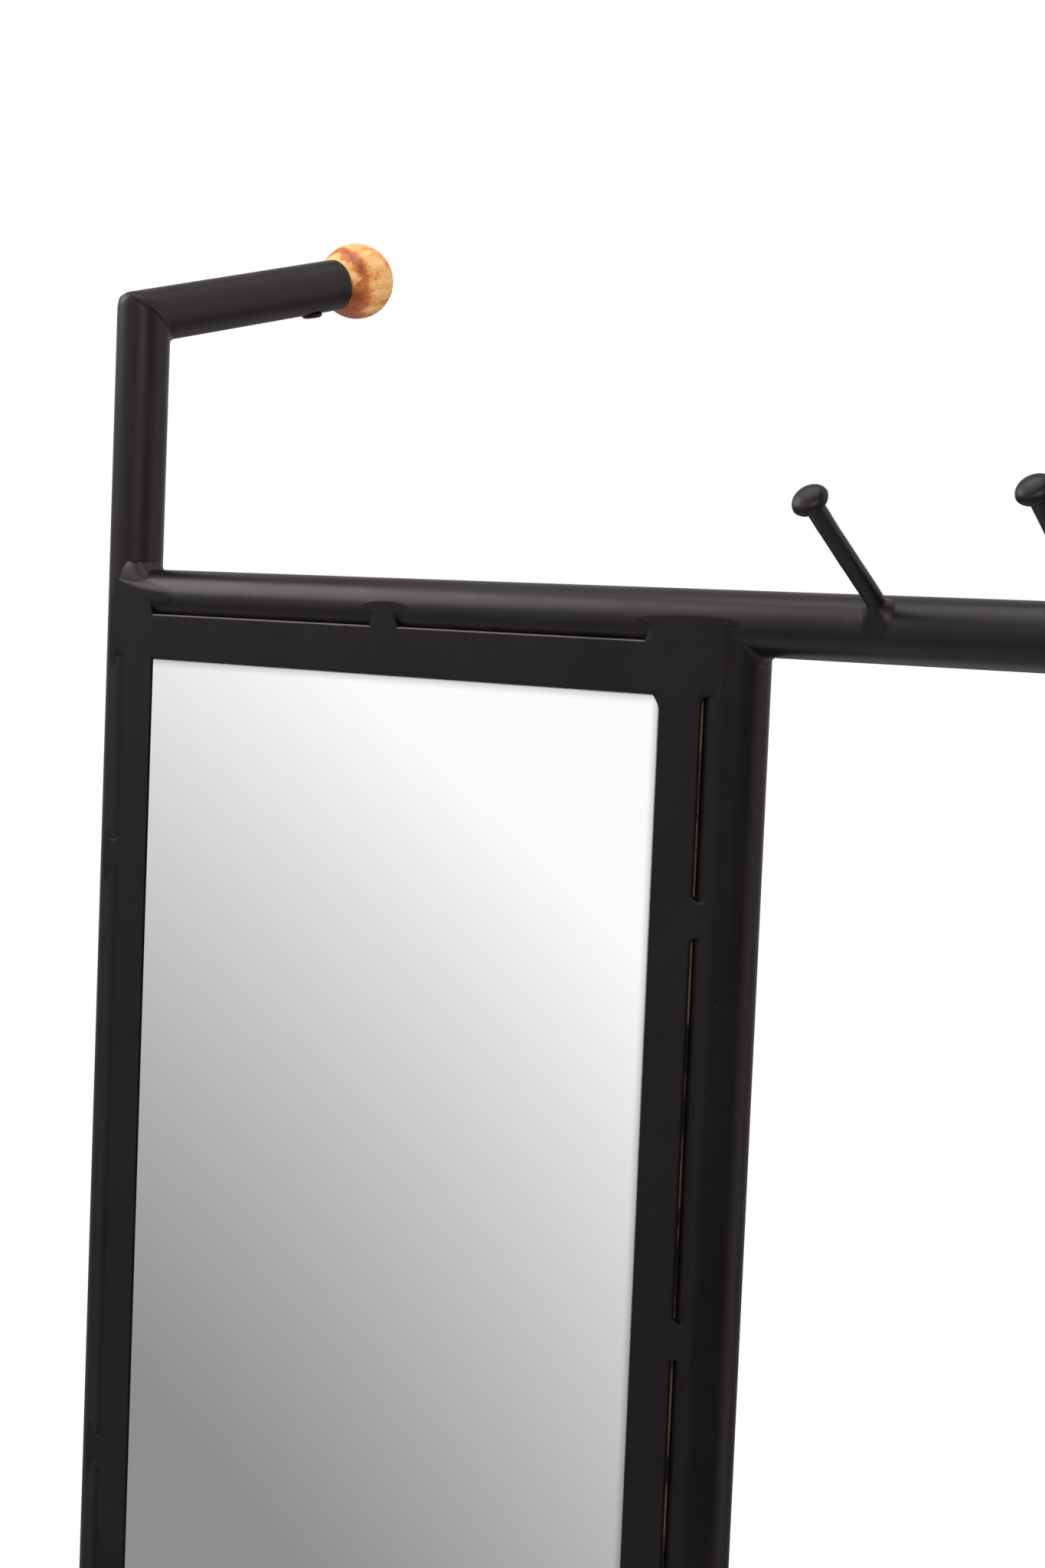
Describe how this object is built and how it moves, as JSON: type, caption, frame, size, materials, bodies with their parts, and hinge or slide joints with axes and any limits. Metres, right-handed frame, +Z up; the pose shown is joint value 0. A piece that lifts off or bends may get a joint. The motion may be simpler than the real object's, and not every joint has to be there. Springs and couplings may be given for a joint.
{
  "type": "floor mirror with coat rack",
  "caption": "Free-standing black tube frame with a tall mirror in one bay and coat hooks on the rail of the other, with wooden balls on short arms at the top.",
  "frame": {"origin": "on the floor, midway between the uprights, in the plane of the uprights", "axes": "+Z up, +X to the right of a person who faces the mirror, +Y behind the mirror"},
  "size_m": [1.026, 0.44, 1.8324],
  "materials": {
    "frame_black": "satin black powder coat",
    "mirror": "silvered glass",
    "ball_wood": "turned hardwood, oiled",
    "hardboard": "raw hardboard",
    "cap_plastic": "moulded black plastic",
    "zinc_steel": "zinc plated",
    "bedding_tape": "closed-cell foam tape"
  },
  "bodies": {
    "frame": {"left_upright": "frame_black", "left_arm": "frame_black", "left_ball": "ball_wood", "left_foot": "frame_black", "right_upright": "frame_black", "right_arm": "frame_black", "right_ball": "ball_wood", "right_foot": "frame_black", "foot_cap_left_front": "cap_plastic", "foot_cap_left_back": "cap_plastic", "foot_cap_right_front": "cap_plastic", "foot_cap_right_back": "cap_plastic", "top_rail": "frame_black", "bottom_rail": "frame_black", "middle_post": "frame_black", "mirror_bar_left": "frame_black", "mirror_bar_right": "frame_black", "mirror_bar_top": "frame_black", "mirror_bar_bottom": "frame_black", "mirror_bar_welds": "frame_black", "frame_welds": "frame_black", "hook_1": "frame_black", "hook_2": "frame_black", "hook_3": "frame_black", "hook_4": "frame_black", "hook_welds": "frame_black", "clip_studs": "frame_black", "ball_screws": "frame_black", "glazing_tape": "bedding_tape", "mirror_glass": "mirror", "backing_board": "hardboard", "board_clips": "zinc_steel", "clip_nuts": "zinc_steel", "saddle_washers": "zinc_steel", "foot_bolts": "zinc_steel", "upright_plugs": "zinc_steel", "leveller_bushes": "zinc_steel"},
    "leveller_left_front": {"leveller_stud_left_front": "zinc_steel", "leveller_pad_left_front": "cap_plastic"},
    "leveller_left_back": {"leveller_stud_left_back": "zinc_steel", "leveller_pad_left_back": "cap_plastic"},
    "leveller_right_front": {"leveller_stud_right_front": "zinc_steel", "leveller_pad_right_front": "cap_plastic"},
    "leveller_right_back": {"leveller_stud_right_back": "zinc_steel", "leveller_pad_right_back": "cap_plastic"}
  },
  "joints": [
    {"name": "leveller_left_front_screw", "type": "slide", "parent": "frame", "child": "leveller_left_front", "axis": [0, 0, -1], "range_m": [0, 0.008]},
    {"name": "leveller_left_back_screw", "type": "slide", "parent": "frame", "child": "leveller_left_back", "axis": [0, 0, -1], "range_m": [0, 0.008]},
    {"name": "leveller_right_front_screw", "type": "slide", "parent": "frame", "child": "leveller_right_front", "axis": [0, 0, -1], "range_m": [0, 0.008]},
    {"name": "leveller_right_back_screw", "type": "slide", "parent": "frame", "child": "leveller_right_back", "axis": [0, 0, -1], "range_m": [0, 0.008]}
  ]
}
